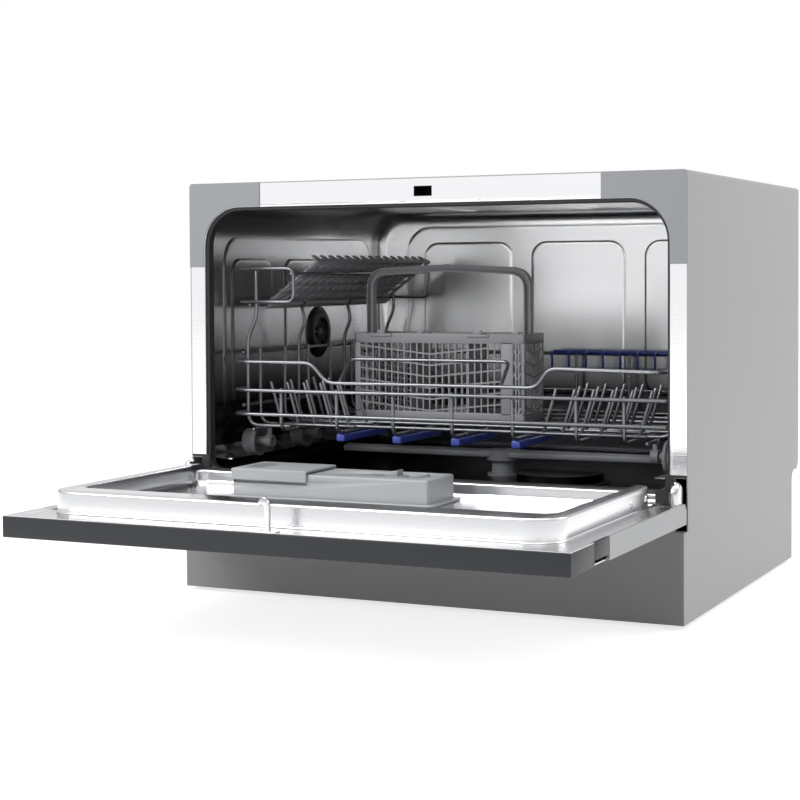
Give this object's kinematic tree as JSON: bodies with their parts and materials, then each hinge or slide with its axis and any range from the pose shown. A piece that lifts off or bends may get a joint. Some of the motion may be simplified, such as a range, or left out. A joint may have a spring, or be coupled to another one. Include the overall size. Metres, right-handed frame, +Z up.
{
  "type": "countertop dishwasher",
  "caption": "Countertop dishwasher with a drop-down door, a pull-out wire rack on wheels, a cutlery basket, a folding cup shelf and a turning spray arm.",
  "frame": {"origin": "middle of the footprint with the door open, on the worktop", "axes": "+X to the machine's right seen from the front, +Y to its back, +Z up"},
  "size_m": [0.55, 0.8184, 0.438],
  "materials": {
    "painted_steel": "light grey, satin paint",
    "plinth_paint": "darker grey, satin paint",
    "stainless": "bright stainless sheet",
    "galvanised": "plain sheet",
    "bright_screw": "bright",
    "chrome": "polished",
    "cap_plastic": "mid grey, smooth",
    "black_plastic": "black, satin",
    "base_plastic": "dark grey",
    "gasket_rubber": "black, soft",
    "foot_rubber": "black",
    "grey_plastic": "grey, smooth",
    "white_plastic": "white",
    "panel_plastic": "dark slate, satin",
    "window_glass": "black, gloss",
    "board": "green circuit board",
    "coated_wire": "grey nylon coating on steel wire",
    "blue_plastic": "deep blue",
    "basket_plastic": "light grey"
  },
  "bodies": {
    "cabinet": {"outer_wrap": "painted_steel", "rear_panel": "galvanised", "front_plinth": "plinth_paint", "base_tray": "base_plastic", "rubber_feet": "foot_rubber", "tub": "stainless", "tub_frame": "stainless", "corner_cap_left": "cap_plastic", "corner_cap_right": "cap_plastic", "door_gasket": "gasket_rubber", "rack_rails": "stainless", "sump": "base_plastic", "filter_plate": "stainless", "spray_post": "grey_plastic", "wash_pump": "base_plastic", "drain_pump": "white_plastic", "water_heater": "white_plastic", "inlet_valve": "white_plastic", "drain_port": "black_plastic", "power_board": "board", "cord_gland": "black_plastic", "breather": "black_plastic", "latch_catch": "black_plastic", "hinge_brackets": "galvanised", "hinge_pins": "galvanised", "panel_screws": "bright_screw"},
    "door": {"door_liner": "stainless", "door_outer_panel": "stainless", "door_side_strips": "stainless", "control_panel": "panel_plastic", "display_window": "window_glass", "control_board": "board", "latch_hook": "stainless", "hinge_arms": "chrome", "rim_screws": "bright_screw", "dispenser_body": "grey_plastic"},
    "rack": {"rack_rings": "coated_wire", "rack_hoops": "coated_wire", "rack_long_wires": "coated_wire", "tines_left": "coated_wire", "tines_right": "coated_wire", "shelf_frame": "coated_wire", "comb_holder": "blue_plastic", "floor_supports": "blue_plastic", "wheel_clips": "grey_plastic"},
    "detergent_lid": {"detergent_lid": "grey_plastic"},
    "rinse_aid_cap": {"rinse_aid_cap": "grey_plastic"},
    "lid_release": {"lid_release": "grey_plastic"},
    "button_power": {"button_power": "grey_plastic"},
    "button_program": {"button_program": "grey_plastic"},
    "button_delay": {"button_delay": "grey_plastic"},
    "button_start": {"button_start": "grey_plastic"},
    "spray_arm": {"spray_arm": "grey_plastic"},
    "filter_cup": {"filter_cup": "grey_plastic"},
    "wheels_1": {"wheels_1": "grey_plastic"},
    "wheels_2": {"wheels_2": "grey_plastic"},
    "wheels_3": {"wheels_3": "grey_plastic"},
    "wheels_4": {"wheels_4": "grey_plastic"},
    "cup_shelf": {"cup_shelf": "grey_plastic"},
    "cutlery_basket": {"cutlery_basket": "basket_plastic"}
  },
  "joints": [
    {"name": "door_swing", "type": "hinge", "parent": "cabinet", "child": "door", "pos_m": [0, -0.08625, 0.107], "axis": [-1, 0, 0], "range_deg": [0, 90]},
    {"name": "rack_slide", "type": "slide", "parent": "cabinet", "child": "rack", "axis": [0, 1, 0], "range_m": [-0.24, 0]},
    {"name": "wheels_1_roll", "type": "hinge", "parent": "rack", "child": "wheels_1", "pos_m": [0, 0.00475, 0.1549], "axis": [1, 0, 0], "range_deg": [-5, 1040]},
    {"name": "wheels_2_roll", "type": "hinge", "parent": "rack", "child": "wheels_2", "pos_m": [0, 0.11875, 0.1549], "axis": [1, 0, 0], "range_deg": [-5, 1040]},
    {"name": "wheels_3_roll", "type": "hinge", "parent": "rack", "child": "wheels_3", "pos_m": [0, 0.23275, 0.1549], "axis": [1, 0, 0], "range_deg": [-5, 1040]},
    {"name": "wheels_4_roll", "type": "hinge", "parent": "rack", "child": "wheels_4", "pos_m": [0, 0.34675, 0.1549], "axis": [1, 0, 0], "range_deg": [-5, 1040]},
    {"name": "basket_lift", "type": "slide", "parent": "rack", "child": "cutlery_basket", "axis": [0, 0, 1], "range_m": [0, 0.06]},
    {"name": "cup_shelf_fold", "type": "hinge", "parent": "rack", "child": "cup_shelf", "pos_m": [-0.232, 0.17775, 0.3065], "axis": [0, -1, 0], "range_deg": [0, 45]},
    {"name": "detergent_lid_slide", "type": "slide", "parent": "door", "child": "detergent_lid", "axis": [1, 0, 0], "range_m": [0, 0.062]},
    {"name": "lid_release_press", "type": "slide", "parent": "door", "child": "lid_release", "axis": [0, 0, -1], "range_m": [0, 0.0025], "stiffness_N_per_m": 500, "springref_m": -0.002},
    {"name": "rinse_aid_twist", "type": "hinge", "parent": "door", "child": "rinse_aid_cap", "pos_m": [0.042, -0.17725, 0.147], "axis": [0, 0, 1], "range_deg": [0, 90]},
    {"name": "power_press", "type": "slide", "parent": "door", "child": "button_power", "axis": [0, 0, 1], "range_m": [0, 0.002], "stiffness_N_per_m": 600, "springref_m": -0.001},
    {"name": "program_press", "type": "slide", "parent": "door", "child": "button_program", "axis": [0, 0, 1], "range_m": [0, 0.002], "stiffness_N_per_m": 600, "springref_m": -0.001},
    {"name": "delay_press", "type": "slide", "parent": "door", "child": "button_delay", "axis": [0, 0, 1], "range_m": [0, 0.002], "stiffness_N_per_m": 600, "springref_m": -0.001},
    {"name": "start_press", "type": "slide", "parent": "door", "child": "button_start", "axis": [0, 0, 1], "range_m": [0, 0.002], "stiffness_N_per_m": 600, "springref_m": -0.001},
    {"name": "spray_arm_spin", "type": "hinge", "parent": "cabinet", "child": "spray_arm", "pos_m": [0, 0.15385, 0.133], "axis": [0, 0, 1], "continuous": true},
    {"name": "filter_twist", "type": "hinge", "parent": "cabinet", "child": "filter_cup", "pos_m": [0.08, 0.11385, 0.1], "axis": [0, 0, 1], "range_deg": [0, 90]}
  ],
  "couplings": [
    {"joint": "wheels_1_roll", "follows": "rack_slide", "rad_per_m": -74.074},
    {"joint": "wheels_2_roll", "follows": "rack_slide", "rad_per_m": -74.074},
    {"joint": "wheels_3_roll", "follows": "rack_slide", "rad_per_m": -74.074},
    {"joint": "wheels_4_roll", "follows": "rack_slide", "rad_per_m": -74.074}
  ]
}
